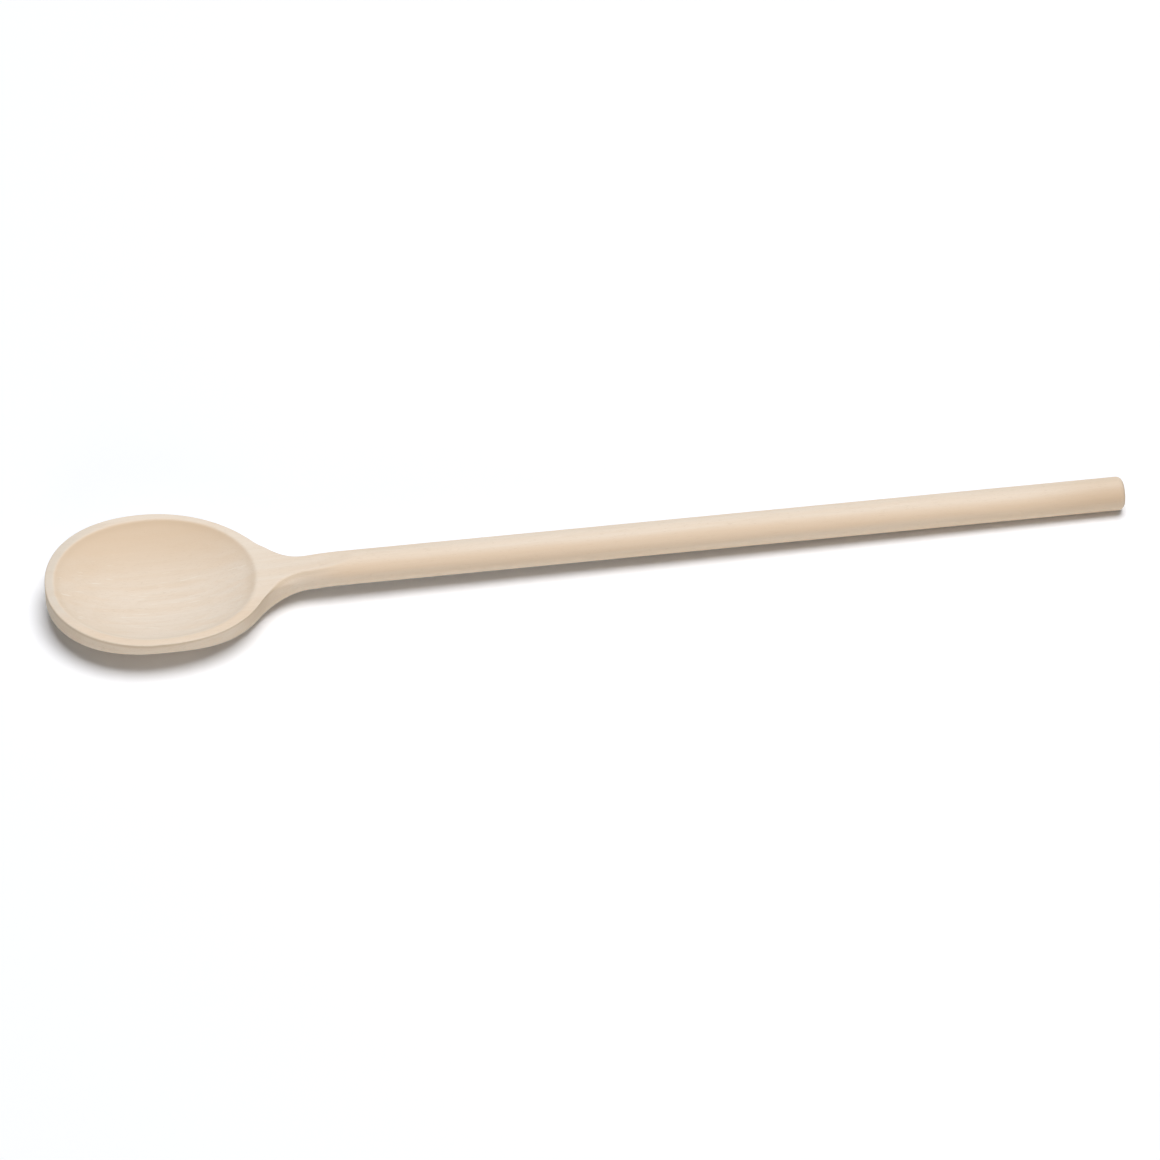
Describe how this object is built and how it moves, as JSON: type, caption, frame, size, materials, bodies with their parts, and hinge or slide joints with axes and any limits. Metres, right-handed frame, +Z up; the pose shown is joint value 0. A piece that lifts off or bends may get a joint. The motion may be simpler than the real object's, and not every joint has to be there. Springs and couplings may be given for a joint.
{
  "type": "wooden spoon",
  "caption": "Long one-piece beech cooking spoon with an oval, shallow hollowed bowl and a straight round handle.",
  "frame": {"origin": "centre of the bounding box at its bottom, on the table that the spoon lies on", "axes": "+X along the spoon from the bowl to the end of the handle, +Y to the left of that, +Z up out of the bowl"},
  "size_m": [0.4, 0.068, 0.016],
  "materials": {
    "beech": "fine sanded, unfinished, matt"
  },
  "bodies": {
    "root": {"wooden_spoon": "beech"}
  },
  "joints": []
}
